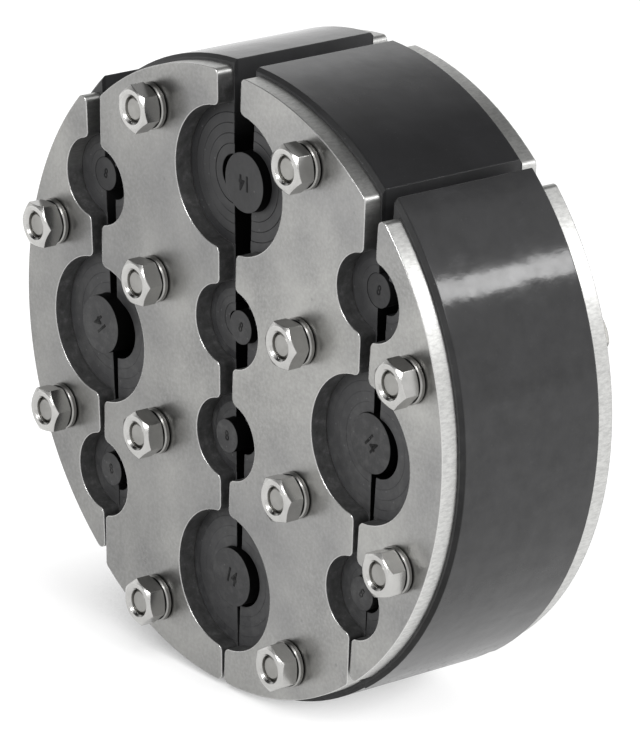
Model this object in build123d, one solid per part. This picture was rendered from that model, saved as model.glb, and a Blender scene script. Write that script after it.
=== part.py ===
from build123d import *
import os
from collections import namedtuple
from math import sqrt

os.makedirs("parts", exist_ok=True)

# Rubber body, a disc that is slit from the top into four upright strips
seal_radius = 75.0
rubber_width = 40.0
rim_chamfer = 0.8
web_thickness = 2.6
flat_spot_depth = 0.12

# Slits, one through the axis and one on each side of it
slit_rim_distance = 29.0

# Pressure plates, one in front of and one behind each strip
plate_thickness = 4.5
plate_rim_inset = 1.5
plate_slit_inset = 0.4
plate_corner_radius = 1.6

# Cable passages on the slits, with layers of rubber that peel out in rings
large_plug_radius = 7.0
small_plug_radius = 4.0
large_window_radius = 16.6
small_window_radius = 9.35
plug_clearance = 0.05
large_rim_distance = 26.65
outer_rim_distance = 23.34
small_height_share = 0.2823

# Circles scored into the front face, along which the layers come out
large_layers = 4
small_layers = 3
score_width = 0.3
score_depth = 0.5

# Layers that were left in place in two of the half bores
top_inner_bore_radius = 4.6
upper_inner_bore_radius = 2.2
loose_layer_gap = 0.45
loose_layer_cut_depth = 12.0

# M6 bolts with nuts and washers
bolt_radius = 3.0
bolt_tip_depth = 0.8
bolt_tip_chamfer = 0.6
hex_across_flats = 10.0
bolt_head_height = 4.0
nut_height = 4.7
nut_face_radius = 4.6
nut_corner_drop = 0.65
nut_countersink = 0.55
thread_clearance = 0.05
washer_radius = 5.5
washer_thickness = 1.6
washer_edge_chamfer = 0.4
washer_clearance = 0.2
plate_hole_clearance = 0.3
rubber_hole_clearance = 0.2
bolt_rim_distance = 8.7
bolt_column = 24.8
inner_bolt_height = 18.5
outer_bolt_height = 22.7

# The seal stands fanned open: each strip leans away from the one beside it
fan_left = 2.65
fan_middle = 3.09
fan_right = 2.19
left_strip_squeeze = 0.5
left_strip_rise = 1.4
right_strip_squeeze = 0.3
right_strip_drop = 0.6

# Values that follow from the sizes above
plate_radius = seal_radius - plate_rim_inset
slit_distance = seal_radius - slit_rim_distance
middle_large_height = seal_radius - large_rim_distance
middle_small_height = small_height_share * middle_large_height
outer_small_height = sqrt(seal_radius**2 - slit_distance**2) - outer_rim_distance
large_bore_radius = large_plug_radius + plug_clearance
small_bore_radius = small_plug_radius + plug_clearance
bolt_circle_radius = plate_radius - bolt_rim_distance
front_face = -rubber_width / 2 - plate_thickness
rear_face = rubber_width / 2 + plate_thickness
nut_face = front_face - washer_thickness - nut_height
bolt_length = rear_face - nut_face - bolt_tip_depth
slit_places = [-slit_distance, 0.0, slit_distance]
strip_names = ["left_outer", "left_inner", "right_inner", "right_outer"]

# A passage lies on one slit. Its plug sits in the half bore of one strip and stands proud of it.
Passage = namedtuple("Passage", "name slit height large plug_on_left proud")
passages = [
    Passage("left_upper", 0, outer_small_height, False, True, 0.0),
    Passage("left_middle", 0, 0.0, True, True, 3.4),
    Passage("left_lower", 0, -outer_small_height, False, True, 2.0),
    Passage("top", 1, middle_large_height, True, False, 2.5),
    Passage("centre_upper", 1, middle_small_height, False, False, 2.3),
    Passage("centre_lower", 1, -middle_small_height, False, True, 2.8),
    Passage("bottom", 1, -middle_large_height, True, True, 1.8),
    Passage("right_upper", 2, outer_small_height, False, True, 0.0),
    Passage("right_middle", 2, 0.0, True, True, 0.7),
    Passage("right_lower", 2, -outer_small_height, False, True, 1.6),
]

# Turn of each nut about its bolt, in degrees, as they were tightened
nut_turns = [57, 3, 38, 0, 36, 38, 43, 1, 14, 31, 48, 22]


def bolt_places(strip):
    """Bolt centres of one strip as x and z, from the top down, with the seal closed."""
    side = -1 if strip < 2 else 1
    if strip in (0, 3):
        column = sqrt(bolt_circle_radius**2 - outer_bolt_height**2)
        return [(side * column, outer_bolt_height), (side * column, -outer_bolt_height)]
    rim_height = sqrt(bolt_circle_radius**2 - bolt_column**2)
    heights = [rim_height, inner_bolt_height, -inner_bolt_height, -rim_height]
    return [(side * bolt_column, height) for height in heights]


def rim_point(x, radius=seal_radius):
    """The point of the lower rim at a distance x from the axis."""
    return Vector(x, 0, -sqrt(radius**2 - x**2))


def lean(corner, angle, shift=(0, 0, 0)):
    """Placement that turns a strip about a lower corner and moves it by a shift."""
    return Pos(*shift) * Pos(corner) * Rot(0, angle, 0) * Pos(-corner)


def strip_placements():
    """Where the four strips stand, with the middle slit's opening shared by both sides."""
    middle = rim_point(0)
    left_inner = lean(middle, -fan_middle / 2)
    right_inner = lean(middle, fan_middle / 2)
    left_shift = (left_strip_squeeze, 0, left_strip_rise)
    right_shift = (-right_strip_squeeze, 0, -right_strip_drop)
    left_outer = left_inner * lean(rim_point(-slit_distance), -fan_left, left_shift)
    right_outer = right_inner * lean(rim_point(slit_distance), fan_right, right_shift)
    return [left_outer, left_inner, right_inner, right_outer]


def strip_outline(strip, radius, inset):
    """Sketch of one strip of a disc, set back from its slits by an inset."""
    left = -2 * seal_radius if strip == 0 else slit_places[strip - 1] + inset
    right = 2 * seal_radius if strip == 3 else slit_places[strip] - inset
    column = Pos((left + right) / 2, 0) * Rectangle(right - left, 4 * seal_radius)
    return Circle(radius) & column


def strip_passages(strip):
    """The passages on the slits beside one strip, each with whether the strip is on its left."""
    return [(p, strip == p.slit) for p in passages if strip in (p.slit, p.slit + 1)]


def window_radius(passage):
    return large_window_radius if passage.large else small_window_radius


def bore_radius(passage):
    return large_bore_radius if passage.large else small_bore_radius


def passage_spot(passage):
    return Pos(slit_places[passage.slit], passage.height)


def layer_radii(passage):
    """Radii at which the rubber round a passage is scored."""
    layers = large_layers if passage.large else small_layers
    step = (window_radius(passage) - bore_radius(passage)) / layers
    return [bore_radius(passage) + step * count for count in range(1, layers)]


def half_bore_radius(passage, strip_on_left):
    """Radius of the bore in one strip's half of a passage, less where a layer was left in."""
    if passage.name == "top" and strip_on_left:
        return top_inner_bore_radius
    if passage.name == "centre_upper" and strip_on_left:
        return upper_inner_bore_radius
    return bore_radius(passage)


def extrude_along_axis(outline, thickness):
    """Solid of a sketch in the seal's face, centred on the rubber's middle."""
    return extrude(Plane.XZ * outline, thickness / 2, both=True)


def rubber_strip(strip):
    """One strip of the rubber body, with its half bores and bolt holes."""
    outline = strip_outline(strip, seal_radius, 0)
    for x, z in bolt_places(strip):
        outline -= Pos(x, z) * Circle(bolt_radius + rubber_hole_clearance)
    for passage, on_left in strip_passages(strip):
        outline -= passage_spot(passage) * Circle(half_bore_radius(passage, on_left))
    solid = extrude_along_axis(outline, rubber_width)
    solid = chamfer(circles(solid, seal_radius), rim_chamfer)
    for passage, on_left in strip_passages(strip):
        solid -= [score_ring(passage, radius) for radius in layer_radii(passage)]
        if passage.name == "top" and on_left:
            solid -= score_ring(passage, bore_radius(passage))
        if passage.name == "centre_upper" and on_left:
            solid -= loose_layer_cut(passage)
    return solid


def score_ring(passage, radius):
    """V-shaped ring that scores a circle into the front face of the rubber."""
    front = -rubber_width / 2
    half = score_width / 2
    notch = Polygon((radius - half, front), (radius + half, front), (radius, front + score_depth), align=None)
    return Pos(slit_places[passage.slit], 0, passage.height) * revolve(Plane.XY * notch, Axis.Y)


def loose_layer_cut(passage):
    """Open cut behind the layer that has come loose in one half bore."""
    inner = bore_radius(passage)
    ring = Circle(inner + loose_layer_gap) - Circle(inner)
    ring = passage_spot(passage) * ring
    front = -rubber_width / 2
    return extrude(Plane.XZ.offset(-front - loose_layer_cut_depth) * ring, loose_layer_cut_depth)


def bore_tool(radius):
    """Cylinder along the seal's axis that cuts right through the rubber."""
    return Cylinder(radius, 2 * rubber_width, rotation=(90, 0, 0))


def web(slit, placements):
    """Thin hinge of rubber that closes the bottom of a slit."""
    x = slit_places[slit]
    corners = []
    for strip, reach in ((slit, -1.0), (slit + 1, 1.0)):
        low = rim_point(x + reach)
        high = low + Vector(0, 0, web_thickness)
        side = [(placements[strip] * Pos(p)).position for p in (low, high)]
        corners += side if reach < 0 else side[::-1]
    outline = Polygon(*[(c.X, c.Z) for c in corners], align=None)
    return extrude_along_axis(outline, rubber_width - 2 * rim_chamfer)


def plug_axis(passage, placements):
    """Placement of a plug's middle in the rubber, in the half bore that holds it."""
    holder = passage.slit if passage.plug_on_left else passage.slit + 1
    return placements[holder] * Pos(slit_places[passage.slit], 0, passage.height)


def rubber_body(placements):
    """The rubber as one solid for each strip, which carries the web on its right."""
    strips = [placements[i] * rubber_strip(i) for i in range(4)]
    for slit in range(3):
        strips[slit] += web(slit, placements)
        strips[slit] -= strips[slit + 1]
    seats = [plug_axis(p, placements) * bore_tool(bore_radius(p)) for p in passages]
    lowest = min(strip.bounding_box().min.Z for strip in strips)
    slab = Pos(0, 0, lowest) * Box(2 * seal_radius, 2 * rubber_width, 2 * flat_spot_depth)
    return [strip - seats - slab for strip in strips]


def plate(strip):
    """Steel plate of one strip, with half a window for each passage beside it."""
    outline = strip_outline(strip, plate_radius, plate_slit_inset)
    for passage, _ in strip_passages(strip):
        outline -= passage_spot(passage) * Circle(window_radius(passage))
    outline = fillet(outline.vertices(), plate_corner_radius)
    for x, z in bolt_places(strip):
        outline -= Pos(x, z) * Circle(bolt_radius + plate_hole_clearance)
    return extrude_along_axis(outline, plate_thickness)


def plug(passage):
    """Round rubber plug, as long as the rubber is wide."""
    radius = large_plug_radius if passage.large else small_plug_radius
    return Cylinder(radius, rubber_width, rotation=(90, 0, 0))


def hexagon(across_flats, height):
    """Hexagonal prism along the seal's axis, with its corners turned away at both ends."""
    prism = extrude_along_axis(RegularPolygon(across_flats / 2, 6, major_radius=False), height)
    corner = across_flats / sqrt(3) + 0.01
    turned = Cylinder(corner, height, rotation=(90, 0, 0))
    return prism & chamfer(turned.edges().filter_by(GeomType.CIRCLE), nut_corner_drop, corner - nut_face_radius)


def circles(solid, radius):
    """The round edges of a solid that have a given radius."""
    return [e for e in solid.edges().filter_by(GeomType.CIRCLE) if abs(e.radius - radius) < 0.01]


def washer():
    ring = Circle(washer_radius) - Circle(bolt_radius + washer_clearance)
    solid = extrude_along_axis(ring, washer_thickness)
    return chamfer(circles(solid, washer_radius), washer_edge_chamfer)


def nut():
    """Hexagon nut with its bore countersunk at both ends."""
    thread_radius = bolt_radius + thread_clearance
    bore = Cylinder(thread_radius, 2 * nut_height, rotation=(90, 0, 0))
    solid = hexagon(hex_across_flats, nut_height) - bore
    return chamfer(circles(solid, thread_radius), nut_countersink)


def bolt():
    """Bolt with its head's seat at the origin and its shank towards the front."""
    shank = Pos(0, -bolt_length / 2, 0) * Cylinder(bolt_radius, bolt_length, rotation=(90, 0, 0))
    tip = shank.edges().filter_by(GeomType.CIRCLE).sort_by(Axis.Y)[0]
    head = Pos(0, bolt_head_height / 2, 0) * hexagon(hex_across_flats, bolt_head_height)
    return chamfer(tip, bolt_tip_chamfer) + head


def fastener_sets(placements):
    """Bolts, nuts and washers of the whole seal, each as a list of separate solids."""
    bolts, nuts, washers = [], [], []
    for strip in range(4):
        for x, z in bolt_places(strip):
            axis = placements[strip] * Pos(x, 0, z)
            turn = nut_turns[len(nuts)]
            nut_middle = front_face - washer_thickness - nut_height / 2
            washers.append(axis * Pos(0, front_face - washer_thickness / 2, 0) * washer())
            nuts.append(axis * Pos(0, nut_middle, 0) * Rot(0, -turn, 0) * nut())
            bolts.append(axis * Pos(0, rear_face, 0) * bolt())
    return bolts, nuts, washers


def write(name, shape):
    export_step(shape, f"parts/{name}.step")


def main():
    placements = strip_placements()
    write("rubber_body", Compound(children=rubber_body(placements)))
    plate_middle = (rubber_width + plate_thickness) / 2
    for strip, name in enumerate(strip_names):
        solid = plate(strip)
        write(f"front_plate_{name}", placements[strip] * Pos(0, -plate_middle, 0) * solid)
        write(f"rear_plate_{name}", placements[strip] * Pos(0, plate_middle, 0) * solid)
    for passage in passages:
        solid = plug_axis(passage, placements) * Pos(0, -passage.proud, 0) * plug(passage)
        write(f"plug_{passage.name}", solid)
    bolts, nuts, washers = fastener_sets(placements)
    write("bolts", Compound(children=bolts))
    write("nuts", Compound(children=nuts))
    write("washers", Compound(children=washers))


main()
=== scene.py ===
import bpy
from math import cos, pi, radians, sin, sqrt
from typing import NamedTuple
from mathutils import Matrix, Vector


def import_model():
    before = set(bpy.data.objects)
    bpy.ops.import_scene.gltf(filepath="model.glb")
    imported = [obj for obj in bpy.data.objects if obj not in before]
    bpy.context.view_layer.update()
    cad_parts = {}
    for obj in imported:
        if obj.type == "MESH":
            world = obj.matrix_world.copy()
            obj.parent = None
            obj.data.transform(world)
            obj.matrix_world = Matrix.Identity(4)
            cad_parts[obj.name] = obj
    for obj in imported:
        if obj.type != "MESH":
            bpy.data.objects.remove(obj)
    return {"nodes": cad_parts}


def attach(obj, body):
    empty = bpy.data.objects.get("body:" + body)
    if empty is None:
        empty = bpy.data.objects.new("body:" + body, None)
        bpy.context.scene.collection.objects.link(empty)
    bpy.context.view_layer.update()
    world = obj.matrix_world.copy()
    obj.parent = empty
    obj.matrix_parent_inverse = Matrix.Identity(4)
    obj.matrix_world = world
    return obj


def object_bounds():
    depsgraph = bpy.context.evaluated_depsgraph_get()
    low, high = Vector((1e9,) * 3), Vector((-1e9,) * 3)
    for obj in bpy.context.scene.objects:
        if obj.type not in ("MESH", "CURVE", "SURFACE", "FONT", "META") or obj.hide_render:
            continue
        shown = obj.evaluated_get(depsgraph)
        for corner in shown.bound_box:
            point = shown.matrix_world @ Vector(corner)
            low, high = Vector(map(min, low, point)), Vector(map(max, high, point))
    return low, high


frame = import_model()
cad_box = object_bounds()
nodes = frame["nodes"]
MM = 0.001
lowest = cad_box[0][2]

# Sizes of the CAD part that the added pieces lie on, in millimetres. X runs across the seal, Y along
# its axis with the front at low Y, and Z up from its centre.
SEAL_RADIUS = 75.0
RUBBER_HALF = 20.0
SLITS = (-46.0, 0.0, 46.0)

# Radius of a passage's bore and of its window, and how many layers lie between, by whether it is large
BORE = {True: 7.05, False: 4.05}
WINDOW = {True: 16.6, False: 9.35}
LAYERS = {True: 4, False: 3}

# Degrees between neighbouring strips, and how far the two outer strips are shifted across and up
FANS = (2.65, 3.09, 2.19)
SHIFTS = ((0.5, 1.4), (-0.3, -0.6))


class Passage(NamedTuple):
    """A cable passage and the plug in it, in millimetres and degrees."""

    slit: int  # its place in SLITS
    height: float
    large: bool
    held_left: bool  # the strip on the left of the slit holds the plug
    proud: float  # how far the plug stands out of the rubber
    turn: float  # of the number on the plug, clockwise as seen from the front


PASSAGES = {
    "left_upper": Passage(0, 35.9, False, True, 0.0, 10),
    "left_middle": Passage(0, 0.0, True, True, 3.4, 230),
    "left_lower": Passage(0, -35.9, False, True, 2.0, -15),
    "top": Passage(1, 48.35, True, False, 2.5, 178),
    "centre_upper": Passage(1, 13.65, False, False, 2.3, 20),
    "centre_lower": Passage(1, -13.65, False, True, 2.8, -10),
    "bottom": Passage(1, -48.35, True, True, 1.8, 14),
    "right_upper": Passage(2, 35.9, False, True, 0.0, 15),
    "right_middle": Passage(2, 0.0, True, True, 0.7, 45),
    "right_lower": Passage(2, -35.9, False, True, 1.6, 30),
}


def tilt(corner, angle, shift=(0.0, 0.0)):
    """Matrix in millimetres that turns a strip about the Y axis through a corner, then shifts it."""
    place = Vector((corner[0], 0, corner[1]))
    turn = Matrix.Rotation(radians(angle), 4, "Y")
    move = Matrix.Translation(Vector((shift[0], 0, shift[1])))
    return move @ Matrix.Translation(place) @ turn @ Matrix.Translation(-place)


def strip_matrices():
    """Where the four strips stand, from left to right, each turned about the foot of its slit."""
    def foot(x):
        return (x, -sqrt(SEAL_RADIUS**2 - x**2))
    left = tilt(foot(0), -FANS[1] / 2)
    right = tilt(foot(0), FANS[1] / 2)
    far_left = left @ tilt(foot(SLITS[0]), -FANS[0], SHIFTS[0])
    far_right = right @ tilt(foot(SLITS[2]), FANS[2], SHIFTS[1])
    return [far_left, left, right, far_right]


STRIPS = strip_matrices()


# Materials

# Spans over which the looks change, in millimetres: along Z
SHADED_TOP = (20.0, 45.0)  # painted shade: the rubber's faces turn darker
DUSTY_SHADED_FOOT = (-45.0, -64.0)  # dust gathers and painted shade darkens the foot
PAINTED_LIGHT_LOWER = (45.0, 0.0)  # the rubber's faces wear paler, with painted light that makes them paler lower down
LIP_SHADE_DEEPENS = (30.0, -20.0)  # painted shade in the gaps at the rim's edges grows darker
# Along Y
FRONT_LIP = (-18.8, -19.1)  # where the rim's front edge starts
REAR_LIP = (19.4, 19.6)  # where its rear edge starts
# Along X
SHADED_TOWARDS_LEFT = (35.0, -35.0)  # painted shade: the plates' faces turn darker
# By distance from the seal's axis
RIM_FROM = (67.0, 69.5)  # surfaces that look outwards belong to the rim
RUBBER_EDGE = (70.0, 72.0)  # where the rubber's edges lie
PLATE_EDGE = (71.0, 73.5)  # where the plates' round edges and their ends lie
LIT_WALLS = (56.0, 70.0)  # the walls of slits and holes turn from black to lit

# Distance from the axis at the far end of a ramp, in millimetres
REACH = 100.0

# Scale of the coordinates along X, Y and Z that draws marks out along the seal's axis
LENGTHENED = (1.0, 0.35, 1.0)

# Share of the width of a joint's painted shade that is dark in full
COVERED = 0.6

# Colours of the rubber
SHADED = (0.015, 0.015, 0.016)
SMUDGED = (0.075, 0.075, 0.08)
WORN_AND_LIT = (0.060, 0.060, 0.060)
SPECK = (0.14, 0.14, 0.14)
DIRT = (0.012, 0.012, 0.013)
PAINTED_BLACK = (0.002, 0.002, 0.002)
FILM = (0.06, 0.06, 0.062)

# Colours of the steel
BRIGHT_GRAIN = (0.50, 0.50, 0.49)
DULL_SPECK = (0.16, 0.16, 0.16)
TARNISH = (0.135, 0.135, 0.145)
DUSTY_SHADED_RIM = (0.38, 0.38, 0.37)
POLISHED = (0.66, 0.66, 0.65)
JOINT_SHADE = (0.02, 0.02, 0.02)


class Nodes:
    """Short way to build a material's nodes: add() makes a node, sets its inputs and joins links."""

    def __init__(self, tree):
        self.tree = tree
        tree.nodes.clear()

    def add(self, kind, inputs=None, **settings):
        node = self.tree.nodes.new(kind)
        for key, value in settings.items():
            setattr(node, key, value)
        for key, value in (inputs or {}).items():
            if isinstance(value, bpy.types.NodeSocket):
                self.tree.links.new(value, node.inputs[key])
            else:
                node.inputs[key].default_value = value
        return node

    def math(self, operation, a, b=0.0, clamp=False):
        node = self.add("ShaderNodeMath", {0: a, 1: b}, operation=operation, use_clamp=clamp)
        return node.outputs[0]

    def plus(self, a, b, clamp=False):
        return self.math("ADD", a, b, clamp)

    def minus(self, a, b, clamp=False):
        return self.math("SUBTRACT", a, b, clamp)

    def times(self, a, b, clamp=False):
        return self.math("MULTIPLY", a, b, clamp)

    def larger(self, a, b):
        return self.math("MAXIMUM", a, b)

    def without(self, a, share=1.0):
        """1 less a share of a value."""
        return self.minus(1.0, self.times(a, share))

    def vector(self, operation, a, b=(0.0, 0.0, 0.0), output="Vector"):
        node = self.add("ShaderNodeVectorMath", {0: a, 1: b}, operation=operation)
        return node.outputs[output]

    def dot(self, a, b):
        return self.vector("DOT_PRODUCT", a, b, "Value")

    def axis(self, where, name):
        return self.add("ShaderNodeSeparateXYZ", {0: where}).outputs[name]

    def mix(self, factor, a, b):
        """Colour a with a share of b mixed in, where b is an output or a colour of three numbers."""
        if isinstance(b, tuple):
            b = (*b, 1.0)
        node = self.add("ShaderNodeMix", {0: factor, 6: a, 7: b}, data_type="RGBA")
        return node.outputs[2]

    def ramp(self, factor, stops):
        """Values between stops of (place, value), as a grey colour or a colour of three numbers."""
        node = self.add("ShaderNodeValToRGB", {0: factor})
        for place, value in stops[1:-1]:
            node.color_ramp.elements.new(place)
        for element, (place, value) in zip(node.color_ramp.elements, stops):
            colour = (value,) * 3 if isinstance(value, float) else value
            element.position = place
            element.color = (*colour, 1.0)
        return node.outputs[0]

    def step(self, factor, start, end):
        """0 up to the start and 1 from the end on."""
        return self.ramp(factor, [(0.0, 0.0), (start, 0.0), (end, 1.0), (1.0, 1.0)])

    def between(self, value, start, end, low=0.0, high=1.0):
        """Goes from low to high while a value goes from start to end."""
        node = self.add("ShaderNodeMapRange", {0: value, 1: start, 2: end, 3: low, 4: high})
        return node.outputs[0]

    def along(self, where, axis, span, low=0.0, high=1.0):
        """Goes from low to high over a span of an axis in millimetres."""
        return self.between(self.axis(where, axis), span[0] * MM, span[1] * MM, low, high)

    def noise(self, where, scale, detail=3.0, roughness=0.5):
        inputs = {"Vector": where, "Scale": scale, "Detail": detail, "Roughness": roughness}
        return self.add("ShaderNodeTexNoise", inputs).outputs[0]

    def dots(self, where, scale, solid, gone):
        """Round specks: 1 within a share of a cell's size from its point, 0 beyond another."""
        cells = self.add("ShaderNodeTexVoronoi", {"Vector": where, "Scale": scale})
        return self.ramp(cells.outputs[0], [(0.0, 1.0), (solid, 1.0), (gone, 0.0), (1.0, 0.0)])

    def stretch(self, where, scale):
        return self.vector("MULTIPLY", where, scale)

    def true_normal(self):
        return self.add("ShaderNodeNewGeometry").outputs["True Normal"]

    def bevel(self, radius, samples):
        """The normal with sharp edges rounded by a radius in millimetres."""
        return self.add("ShaderNodeBevel", {"Radius": radius * MM}, samples=samples).outputs[0]

    def bump(self, height, strength, distance, normal):
        """A normal with relief of a distance in millimetres."""
        inputs = {"Height": height, "Strength": strength, "Distance": distance * MM, "Normal": normal}
        return self.add("ShaderNodeBump", inputs).outputs[0]


def new_material(name):
    """A material, the short way to build its nodes, and the place on the object in metres."""
    material = bpy.data.materials.new(name)
    material.use_nodes = True
    n = Nodes(material.node_tree)
    where = n.add("ShaderNodeTexCoord").outputs["Object"]
    return material, n, where


def facing(n, start=0.45, end=0.6):
    """1 on faces that look along the seal's axis, 0 on those that look sideways."""
    return n.step(n.math("ABSOLUTE", n.axis(n.true_normal(), "Y")), start, end)


def beyond(n, where, span):
    """Grows from 0 to 1 over a span of the distance from the seal's axis, in millimetres."""
    radius = n.vector("LENGTH", n.stretch(where, (1.0, 0.0, 1.0)), output="Value")
    start, end = (edge / REACH for edge in span)
    return n.step(n.times(radius, 1.0 / (REACH * MM)), start, end)


def rim(n, where):
    """1 on the round rim of the seal, 0 in its windows, slits and holes."""
    outward = n.vector("NORMALIZE", n.stretch(where, (1.0, 0.0, 1.0)))
    turned = n.step(n.dot(n.true_normal(), outward), 0.6, 0.8)
    return n.times(turned, beyond(n, where, RIM_FROM))


def near_floor(n, where):
    """Grows from 0 to 1 over the lowest part of the seal, where dust has gathered and shade is painted."""
    return n.along(where, "Z", DUSTY_SHADED_FOOT)


def shaded_lip(n, where):
    """The edges of the rubber's rim, where shade is painted in the gaps by the plates: 1 low down and 0.5
    near the top.
    """
    front = n.along(where, "Y", FRONT_LIP)
    rear = n.along(where, "Y", REAR_LIP)
    lip = n.times(n.larger(front, rear), n.without(facing(n, 0.85, 0.95)))
    lip = n.times(lip, beyond(n, where, RUBBER_EDGE))
    return n.times(lip, n.along(where, "Z", LIP_SHADE_DEEPENS, 0.5, 1.0))


def rubber_material(name, dark, light, roughness, face_roughness, grain, gloss):
    """Satin dark rubber with soft clouds, a fine grain, wear, specks of dust and dirt near the floor, and
    painted light and shade on its faces, walls, lips and foot.
    """
    material, n, where = new_material(name)

    # Where: the flat faces, the foot, the rim's edges, and the walls of windows, slits and holes
    face = facing(n)
    low = near_floor(n, where)
    lip = shaded_lip(n, where)
    side = n.without(n.larger(face, rim(n, where)))
    inside = n.times(side, n.without(beyond(n, where, LIT_WALLS)))

    # Patterns
    clouds = n.noise(where, scale=75.0, detail=5.0, roughness=0.6)
    fine = n.noise(where, scale=900.0, detail=3.0, roughness=0.6)
    waves = n.noise(where, scale=100.0, detail=2.0, roughness=0.5)
    mottle = n.noise(where, scale=190.0, detail=6.0, roughness=0.7)
    patches = n.noise(where, scale=330.0, detail=4.0, roughness=0.7)
    marks = n.noise(n.stretch(where, LENGTHENED), scale=160.0, detail=6.0, roughness=0.7)
    smudge = n.step(marks, 0.58, 0.78)
    dots = n.dots(where, scale=420.0, solid=0.05, gone=0.11)
    specks = n.times(dots, n.plus(0.15, n.times(face, 0.85)))
    crumbs = n.noise(where, scale=520.0, detail=6.0, roughness=0.75)
    dirt = n.step(crumbs, 0.56, 0.62)
    # Wear patches on the faces, with painted light that makes them paler lower down
    worn_and_lit = n.times(n.minus(patches, 0.45), n.plus(0.35, n.times(face, 1.2)), True)
    worn_and_lit = n.times(worn_and_lit, n.along(where, "Z", PAINTED_LIGHT_LOWER, 0.2, 2.4), True)

    # Colour
    colour = n.ramp(clouds, [(0.25, dark), (0.75, light)])
    # Painted shade: the flat faces turn darker towards the top
    colour = n.mix(n.times(face, n.along(where, "Z", SHADED_TOP, 0.0, 0.7)), colour, SHADED)
    colour = n.mix(n.times(smudge, 0.25), colour, SMUDGED)
    colour = n.mix(worn_and_lit, colour, WORN_AND_LIT)
    colour = n.mix(n.times(specks, 0.55), colour, SPECK)
    # Dirt near the floor, which also paints shade on the foot
    colour = n.mix(n.times(dirt, n.times(low, 0.55)), colour, DIRT)
    # Painted shade: the walls of slits and holes and the gaps at the rim's edges turn black
    colour = n.mix(n.larger(inside, n.times(lip, 0.8)), colour, PAINTED_BLACK)

    # Shine, which the mottling breaks up and which is taken away on the lips and walls with painted shade
    # and on the dusty, shaded foot
    shine = n.times(gloss, n.plus(0.50, n.times(mottle, 0.90)))
    for dull, share in ((lip, 0.45), (inside, 0.85), (low, 0.18)):
        shine = n.times(shine, n.without(dull, share))
    matte = n.larger(face, n.larger(side, lip))
    rough = n.plus(roughness, n.times(matte, face_roughness - roughness))
    rough = n.plus(rough, n.times(n.minus(clouds, 0.5), 0.14))
    rough = n.plus(rough, n.times(smudge, 0.12))
    rough = n.plus(rough, n.times(n.times(dirt, low), 0.2))

    # Relief, and the film of dust near the floor
    wavy = n.bump(waves, 0.35, 0.3, n.bevel(0.3, 4))
    relief = n.bump(fine, grain, 0.2, wavy)
    inputs = {"Base Color": colour, "Roughness": rough, "Specular IOR Level": shine, "Normal": relief}
    bare = n.add("ShaderNodeBsdfPrincipled", inputs)
    film = n.add("ShaderNodeBsdfDiffuse", {"Color": (*FILM, 1.0), "Normal": relief})
    share = n.times(low, n.plus(0.05, n.times(mottle, 0.50)), True)
    both = n.add("ShaderNodeMixShader", {0: share, 1: bare.outputs[0], 2: film.outputs[0]})
    n.add("ShaderNodeOutputMaterial", {"Surface": both.outputs[0]})
    return material


def finish_metal(n, colour, rough, normal):
    """Makes a metal surface of a colour, a roughness and a normal."""
    inputs = {"Base Color": colour, "Metallic": 1.0, "Roughness": rough, "Normal": normal}
    shader = n.add("ShaderNodeBsdfPrincipled", inputs)
    n.add("ShaderNodeOutputMaterial", {"Surface": shader.outputs[0]})


def plate_material(name):
    """Matte stainless sheet: cloudy faces with a few specks, and cut edges with fine marks across them,
    with painted shade darkening the faces towards the left and the cut walls inside.
    """
    material, n, where = new_material(name)

    # Where: the cut edges, those on the outside of the seal, and their corners
    cut = n.without(facing(n))
    outer = n.larger(rim(n, where), beyond(n, where, PLATE_EDGE))
    edge = n.bevel(0.45, 8)
    bent = n.dot(n.true_normal(), edge)
    polish = n.ramp(bent, [(0.0, 1.0), (0.90, 1.0), (0.985, 0.0), (1.0, 0.0)])

    # Patterns
    clouds = n.noise(where, scale=70.0, detail=6.0, roughness=0.62)
    broad = n.noise(where, scale=24.0, detail=2.0, roughness=0.5)
    stains = n.noise(where, scale=420.0, detail=5.0, roughness=0.7)
    fine = n.noise(where, scale=1100.0, detail=3.0, roughness=0.6)
    specks = n.dots(where, scale=130.0, solid=0.03, gone=0.07)
    strokes = n.noise(n.stretch(where, LENGTHENED), scale=1500.0, detail=3.0, roughness=0.75)

    # Colour of the faces, with painted shade darker towards the left, then of the cut edges
    face = n.ramp(clouds, [(0.3, (0.235, 0.234, 0.228)), (0.7, (0.355, 0.352, 0.338))])
    face = n.mix(n.times(n.minus(fine, 0.40), 0.9, True), face, BRIGHT_GRAIN)
    face = n.mix(n.times(specks, 0.45), face, DULL_SPECK)
    face = n.mix(n.ramp(broad, [(0.36, 0.34), (0.58, 0.0)]), face, TARNISH)
    # Painted shade: the faces turn darker towards the left
    tone = n.along(where, "X", SHADED_TOWARDS_LEFT, 1.10, 0.90)
    face = n.add("ShaderNodeHueSaturation", {"Color": face, "Value": tone}).outputs[0]
    rim_colour = n.ramp(strokes, [(0.35, (0.49, 0.49, 0.48)), (0.62, (0.64, 0.64, 0.625))])
    # Dust and painted shade: the round edges turn duller near the floor
    rim_colour = n.mix(n.times(near_floor(n, where), 0.8), rim_colour, DUSTY_SHADED_RIM)
    # Painted shade: the cut walls inside windows, slits and holes are darker than the round edges outside
    shaded_inner_colour = n.ramp(stains, [(0.3, 0.16), (0.55, 0.25), (0.75, 0.42)])
    colour = n.mix(cut, face, n.mix(outer, shaded_inner_colour, rim_colour))
    colour = n.mix(n.times(polish, 0.7), colour, POLISHED)

    # Roughness and relief
    rough = n.plus(0.22, n.times(clouds, 0.20))
    rough = n.plus(rough, n.times(cut, n.minus(0.20, n.times(outer, 0.12))))
    rough = n.minus(rough, n.times(polish, 0.12))
    height = n.mix(n.times(cut, outer), n.times(fine, 0.7), strokes)
    finish_metal(n, colour, rough, n.bump(height, 0.12, 0.1, edge))
    return material


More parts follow.
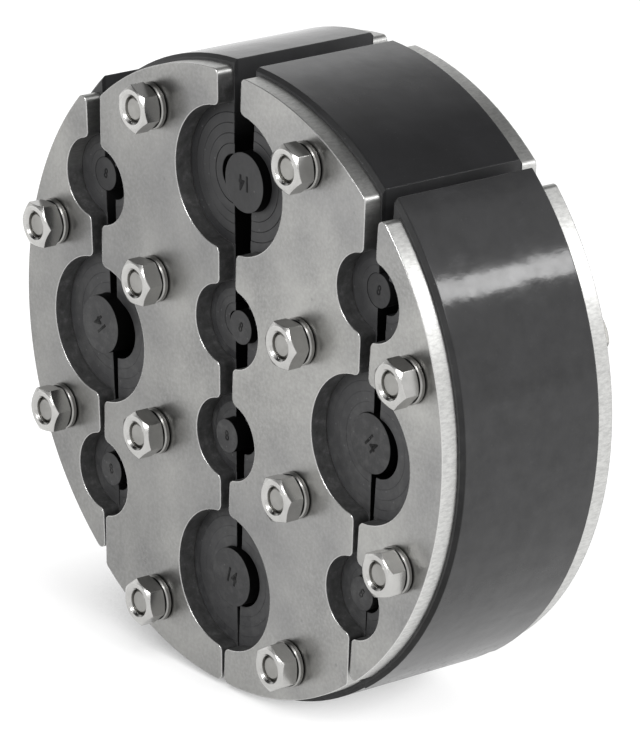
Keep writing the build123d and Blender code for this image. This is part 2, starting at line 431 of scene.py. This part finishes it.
def fastener_material(name, tone, roughness, joints):
    """Bright stainless steel with faint clouds and fine marks, and painted shade round joints.

    Each joint is its depth along the axis, on either side of the seal, and its painted shade's half width.
    """
    material, n, where = new_material(name)
    clouds = n.noise(where, scale=240.0, detail=4.0, roughness=0.6)
    fine = n.noise(where, scale=2200.0, detail=2.0)
    dark = (tone - 0.04, tone - 0.044, tone - 0.056)
    light = (tone + 0.04, tone + 0.036, tone + 0.022)
    colour = n.ramp(clouds, [(0.3, dark), (0.7, light)])
    depth = n.math("ABSOLUTE", n.axis(where, "Y"))
    for joint, width in joints:
        # Painted shade in the gaps between nut, washer and plate
        away = n.math("ABSOLUTE", n.minus(depth, joint * MM))
        joint_shade = n.between(away, COVERED * width * MM, width * MM, 1.0, 0.0)
        colour = n.mix(joint_shade, colour, JOINT_SHADE)
    rough = n.plus(roughness, n.times(clouds, 0.16))
    finish_metal(n, colour, rough, n.bump(fine, 0.06, 0.05, n.bevel(0.3, 6)))
    return material


rubber = rubber_material(
    "rubber", dark=(0.028, 0.028, 0.029), light=(0.036, 0.036, 0.038),
    roughness=0.115, face_roughness=0.52, grain=0.05, gloss=0.5)
darker_rubber = rubber_material(
    "darker_rubber", dark=(0.008, 0.008, 0.009), light=(0.040, 0.040, 0.042),
    roughness=0.30, face_roughness=0.50, grain=0.20, gloss=0.35)
plug_rubber = rubber_material(
    "plug_rubber", dark=(0.019, 0.019, 0.020), light=(0.027, 0.027, 0.028),
    roughness=0.70, face_roughness=0.52, grain=0.12, gloss=0.44)
plate_steel = plate_material("plate_steel")
FASTENERS = {
    "nuts": fastener_material("nut_steel", 0.49, 0.15, [(26.1, 0.22)]),
    "washers": fastener_material("washer_steel", 0.33, 0.22, [(26.1, 0.15), (24.5, 0.30)]),
    "bolts": fastener_material("bolt_steel", 0.30, 0.26, []),
}
number_rubber = rubber_material(
    "number_rubber", dark=(0.004, 0.004, 0.004), light=(0.008, 0.008, 0.008),
    roughness=0.60, face_roughness=0.60, grain=0.05, gloss=0.15)


def dress(node, material):
    """Gives a CAD node a material in all its slots."""
    slots = nodes[node].data.materials
    if not slots:
        slots.append(material)
    for place in range(len(slots)):
        slots[place] = material


for name in nodes:
    if name.startswith("plug_"):
        dress(name, plug_rubber)
    elif "_plate_" in name:
        dress(name, plate_steel)
    elif name == "rubber_body":
        dress(name, rubber)
    else:
        dress(name, FASTENERS[name])


# Rubber layers round the passages, which peel out one by one. Sizes in millimetres.
LAYER_BASE = -0.05
LAYER_BULGE = 0.06
WINDOW_CLEARANCE = 0.05
ARC_STEPS = 40

# Gap beside each layer, how much farther the highest bulges than the lowest, and how round its edges are
TOP_LAYERS = (0.025, 0.10, 0.05)
OTHER_LAYERS = (0.0, 0.03, 0.02)

# Inner radius of the layer that was left in the bore beside the top plug
LEFT_IN_PLACE = 4.6


def smooth(obj, angle=30):
    """Smooth shading that keeps the creases sharper than an angle."""
    mesh = obj.data
    mesh.polygons.foreach_set("use_smooth", [True] * len(mesh.polygons))
    mesh.set_sharp_from_angle(angle=radians(angle))


def add_piece(name, vertices, faces, material, other, others):
    """A mesh piece of points in metres that rides on the part, with some faces in the other material."""
    mesh = bpy.data.meshes.new(name)
    mesh.from_pydata(vertices, [], faces)
    mesh.materials.append(material)
    if others:
        mesh.materials.append(other)
    for face in others:
        mesh.polygons[face].material_index = 1
    mesh.validate()
    obj = bpy.data.objects.new(name, mesh)
    bpy.context.scene.collection.objects.link(obj)
    smooth(obj)
    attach(obj, "root")


def ring_profile(inner, outer, base, top, soften):
    """Corners of one rubber layer's section as (radius, height), with its outer edges softened."""
    return [(inner, base), (inner, top - soften), (inner + soften, top), (outer - soften, top),
            (outer, top - soften), (outer, base)]


def half_ring(profile, centre, matrix, side, left):
    """Points and faces of a section swept through the half circle on one side of a slit."""
    vertices, faces = [], []
    count = len(profile)
    for step in range(ARC_STEPS + 1):
        angle = pi * step / ARC_STEPS + (pi / 2 if left else -pi / 2)
        for radius, height in profile:
            x = centre[0] + radius * cos(angle)
            z = centre[1] + radius * sin(angle)
            vertices.append(matrix @ Vector((x, side * (RUBBER_HALF + height), z)) * MM)
    for step in range(ARC_STEPS):
        for k in range(count):
            a, b = step * count + k, step * count + (k + 1) % count
            quad = (a, b, b + count, a + count)
            faces.append(quad if side > 0 else quad[::-1])
    first = tuple(range(count))
    last = tuple(ARC_STEPS * count + k for k in range(count))
    faces.append(first if side < 0 else first[::-1])
    faces.append(last[::-1] if side < 0 else last)
    return vertices, faces


def layers(name, left):
    """The layers of one half of a passage, which bulge out of the rubber by different amounts."""
    passage = PASSAGES[name]
    strip = passage.slit if left else passage.slit + 1
    bore, window = BORE[passage.large], WINDOW[passage.large]
    step = (window - bore) / LAYERS[passage.large]
    edges = [bore + step * k for k in range(LAYERS[passage.large] + 1)]
    edges[-1] -= WINDOW_CLEARANCE
    if left and name == "top":
        edges.insert(0, LEFT_IN_PLACE)
    gap, spread, soften = TOP_LAYERS if name == "top" else OTHER_LAYERS
    vertices, faces, darker_faces = [], [], []
    for side in (-1, 1):
        for k in range(len(edges) - 1):
            # 0, 1/3, 2/3 or 1 in an order that differs between passages
            uneven = ((k * 7 + passage.slit * 3 + len(name) + (2 if left else 0)) % 4) / 3
            bulge = LAYER_BULGE + spread * uneven
            profile = ring_profile(edges[k] + gap, edges[k + 1] - gap, LAYER_BASE, bulge, soften)
            centre = (SLITS[passage.slit], passage.height)
            points, quads = half_ring(profile, centre, STRIPS[strip], side, left)
            # The outermost layer of the left halves in the middle slit is in darker rubber
            if left and passage.slit == 1 and k == len(edges) - 2:
                darker_faces += range(len(faces), len(faces) + len(quads))
            faces += [tuple(i + len(vertices) for i in quad) for quad in quads]
            vertices += points
    where = "left" if left else "right"
    add_piece(f"layers_{name}_{where}", vertices, faces, rubber, darker_rubber, darker_faces)


for passage_name in PASSAGES:
    layers(passage_name, True)
    layers(passage_name, False)


# Numbers on the plugs, by whether the plug is large: the figures, their size and how much bolder they are
NUMBERS = {True: ("14", 5.0, 0.13), False: ("8", 3.4, 0.05)}
NUMBER_RELIEF = 0.06
NUMBER_NARROWING = 0.8


def number(name):
    """The plain number on a plug's front face, in thin raised figures."""
    passage = PASSAGES[name]
    figures, size, bolder = NUMBERS[passage.large]
    font = bpy.data.curves.new(f"number_{name}", "FONT")
    font.body = figures
    font.size = size * MM
    font.offset = bolder * MM
    font.extrude = NUMBER_RELIEF * MM
    font.align_x = "CENTER"
    font.align_y = "CENTER"
    text = bpy.data.objects.new(f"number_{name}", font)
    bpy.context.scene.collection.objects.link(text)
    bpy.context.view_layer.update()
    mesh = bpy.data.meshes.new_from_object(text.evaluated_get(bpy.context.evaluated_depsgraph_get()))
    bpy.data.objects.remove(text)
    strip = passage.slit if passage.held_left else passage.slit + 1
    on_face = Vector((SLITS[passage.slit], -RUBBER_HALF - passage.proud, passage.height))
    spot = STRIPS[strip] @ on_face * MM
    turn = Matrix.Rotation(radians(passage.turn), 4, "Y") @ Matrix.Rotation(pi / 2, 4, "X")
    narrow = Matrix.Diagonal((NUMBER_NARROWING, 1.0, 1.0, 1.0))
    mesh.transform(Matrix.Translation(spot) @ turn @ narrow)
    mesh.materials.clear()
    mesh.materials.append(number_rubber)
    piece = bpy.data.objects.new(f"number_{name}", mesh)
    bpy.context.scene.collection.objects.link(piece)
    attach(piece, "root")


for passage_name in PASSAGES:
    number(passage_name)


# Studio. Distances and sizes in metres, angles in degrees.
FLOOR_HALF = 4.0
FLOOR_GLOW = 0.85
SHADOW_REACH = 0.08
SHADOW_LEAN = (0.88, 0.05, 0.45)

# Patches of the studio that are paler or darker, as direction, sharpness and strength
PALE_PATCHES = (
    ((-0.80, 0.58, 0.14), 7.0, 0.30),
    ((0.48, 0.58, 0.66), 36.0, 1.05),
    ((0.40, -0.60, 0.70), 6.0, 0.90),
)
DARK_PATCHES = (
    ((-0.50, -0.55, 0.65), 6.0, 0.40),
    ((0.10, 0.60, 0.79), 14.0, 0.40),
    ((-0.60, -0.80, 0.20), 4.0, 0.40),
)

# Lamps as name, direction, distance, width, height, radiance and roll
LAMPS = (
    ("right_box", (0.63, 0.62, 0.485), 1.5, 1.0, 0.15, 10.0, -25.0),
    ("front_low_box", (-0.09, -0.94, 0.31), 1.4, 0.34, 0.34, 14.0, 0.0),
    ("front_high_box", (0.21, -0.74, 0.61), 1.4, 0.20, 0.20, 18.0, 0.0),
    ("top_box", (-0.10, -0.45, 0.89), 1.4, 0.6, 0.6, 0.8, 0.0),
    ("left_box", (-0.78, -0.62, 0.06), 0.65, 0.45, 0.20, 0.7, 0.0),
)

# Camera fitted to the photograph, with its place in millimetres
CAMERA_PLACE = (909.742, -720.638, 403.678)
CAMERA_AZIMUTH = 51.506
CAMERA_ELEVATION = 19.295
CAMERA_ROLL = 0.9555
CAMERA_LENS = 299.47
SENSOR_WIDTH = 36.0


def floor():
    """White floor that fills the background too: it glows for camera and mirror rays, with a shadow painted
    into the glow near the part, and keeps the shadow cast on it.
    """
    mesh = bpy.data.meshes.new("floor")
    corners = [(x * FLOOR_HALF, y * FLOOR_HALF, lowest) for x, y in ((-1, -1), (1, -1), (1, 1), (-1, 1))]
    mesh.from_pydata(corners, [], [(0, 1, 2, 3)])
    obj = bpy.data.objects.new("floor", mesh)
    bpy.context.scene.collection.objects.link(obj)
    material = bpy.data.materials.new("floor_white")
    material.use_nodes = True
    n = Nodes(material.node_tree)
    path = n.add("ShaderNodeLightPath")
    seen = n.plus(path.outputs["Is Camera Ray"], path.outputs["Is Glossy Ray"], True)
    seen = n.plus(seen, path.outputs["Is Transmission Ray"], True)
    lean = n.add("ShaderNodeCombineXYZ", dict(enumerate(SHADOW_LEAN))).outputs[0]
    inputs = {"Distance": SHADOW_REACH, "Normal": lean}
    open_sky = n.add("ShaderNodeAmbientOcclusion", inputs, samples=8).outputs["AO"]
    # Painted shadow: the glow turns darker where the part closes off the sky nearby
    shade = n.ramp(open_sky, [(0.0, 0.06), (0.25, 0.06), (0.66, 1.0), (1.0, 1.0)])
    glow = n.add("ShaderNodeEmission", {"Color": shade, "Strength": n.times(seen, FLOOR_GLOW)})
    matte = n.add("ShaderNodeBsdfDiffuse", {"Color": (0.40, 0.40, 0.40, 1.0)})
    both = n.add("ShaderNodeAddShader", {0: glow.outputs[0], 1: matte.outputs[0]})
    n.add("ShaderNodeOutputMaterial", {"Surface": both.outputs[0]})
    mesh.materials.append(material)


def patch(n, direction, centre, sharpness, strength):
    """A smooth patch round a centre that falls off with the angle from it."""
    near = n.dot(direction, tuple(Vector(centre).normalized()))
    return n.times(n.math("POWER", n.larger(near, 0.0), sharpness), strength)


def world():
    """Soft studio: pale round the horizon and darker overhead."""
    scene_world = bpy.data.worlds.new("studio")
    scene_world.use_nodes = True
    n = Nodes(scene_world.node_tree)
    direction = n.add("ShaderNodeTexCoord").outputs["Generated"]
    height = n.axis(direction, "Z")
    level = n.ramp(height, [(0.0, 1.0), (0.36, 1.0), (0.60, 0.52), (0.85, 0.24), (1.0, 0.18)])
    for pale in PALE_PATCHES:
        level = n.plus(level, patch(n, direction, *pale))
    for dark in DARK_PATCHES:
        level = n.minus(level, patch(n, direction, *dark), True)
    background = n.add("ShaderNodeBackground", {"Color": level, "Strength": 1.0})
    n.add("ShaderNodeOutputWorld", {"Surface": background.outputs[0]})
    bpy.context.scene.world = scene_world


def softbox(name, direction, distance, width, height, radiance, roll):
    """Area lamp that faces the part from a direction, rolled about that line, with an even radiance."""
    light = bpy.data.lights.new(name, "AREA")
    light.shape = "RECTANGLE"
    light.size = width
    light.size_y = height
    light.energy = radiance * pi * width * height
    lamp = bpy.data.objects.new(name, light)
    bpy.context.scene.collection.objects.link(lamp)
    towards = Vector(direction).normalized()
    aim = towards.to_track_quat("Z", "Y").to_matrix().to_4x4() @ Matrix.Rotation(radians(roll), 4, "Z")
    lamp.matrix_world = Matrix.Translation(towards * distance) @ aim
    lamp.visible_camera = False


def camera():
    """Camera that shows the part as the photograph does."""
    data = bpy.data.cameras.new("camera")
    data.sensor_fit = "HORIZONTAL"
    data.sensor_width = SENSOR_WIDTH
    data.lens = CAMERA_LENS
    data.clip_end = 50.0
    obj = bpy.data.objects.new("camera", data)
    azimuth = Matrix.Rotation(radians(CAMERA_AZIMUTH), 4, "Z")
    elevation = Matrix.Rotation(pi / 2 - radians(CAMERA_ELEVATION), 4, "X")
    roll = Matrix.Rotation(radians(CAMERA_ROLL), 4, "Z")
    turn = azimuth @ elevation @ roll
    obj.matrix_world = Matrix.Translation(Vector(CAMERA_PLACE) * MM) @ turn
    bpy.context.scene.collection.objects.link(obj)
    bpy.context.scene.camera = obj


floor()
world()
for lamp_settings in LAMPS:
    softbox(*lamp_settings)
camera()
bpy.context.scene.view_settings.view_transform = "Standard"
